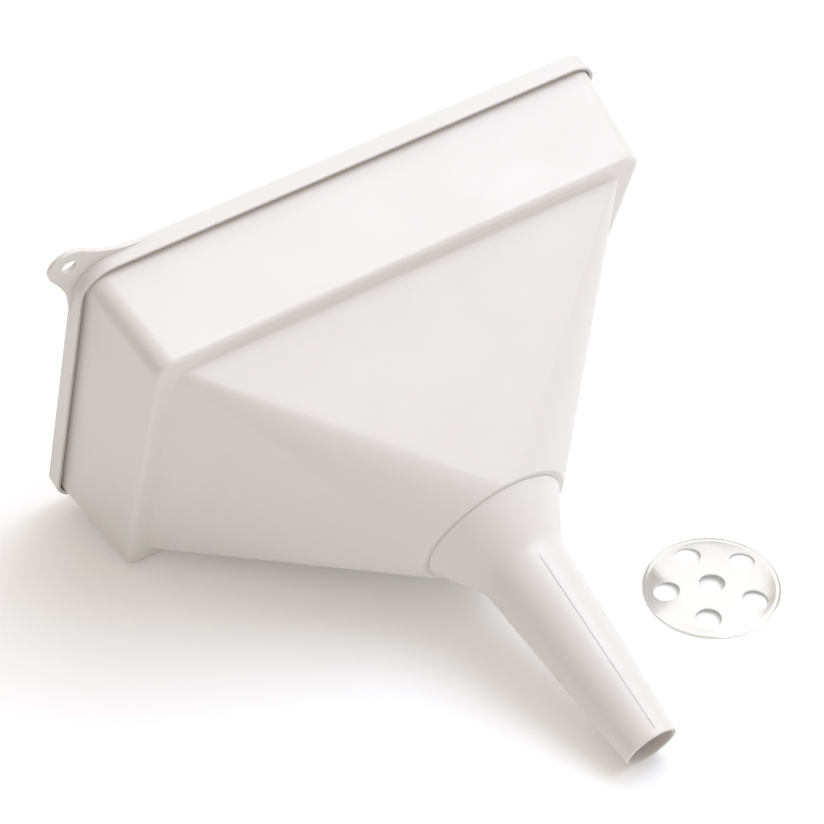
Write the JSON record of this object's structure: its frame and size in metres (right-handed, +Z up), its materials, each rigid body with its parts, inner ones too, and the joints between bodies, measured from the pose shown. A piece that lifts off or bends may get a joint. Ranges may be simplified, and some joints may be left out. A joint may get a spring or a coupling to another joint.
{
  "type": "rectangular filling funnel with strainer plate",
  "caption": "Large white plastic funnel with a rectangular mouth, deep collar, hanging eye, round spout and a loose perforated steel strainer plate, lying on its side.",
  "frame": {"origin": "centre of the footprint of the whole row, on the surface it lies on", "axes": "+Z up from the surface; +X along the mouth's long side, away from the hanging eye; +Y from the spout's end towards the mouth"},
  "size_m": [0.3144, 0.3274, 0.2245],
  "materials": {
    "white_plastic": "satin moulded polyethylene",
    "bright_steel": "bright pressed stainless sheet"
  },
  "bodies": {
    "funnel": {"hopper": "white_plastic", "spout": "white_plastic"},
    "strainer": {"strainer_plate": "bright_steel"}
  },
  "joints": [
    {"name": "strainer_lift", "type": "slide", "parent": "funnel", "child": "strainer", "axis": [0, 0, 1], "range_m": [0, 0.3]}
  ]
}
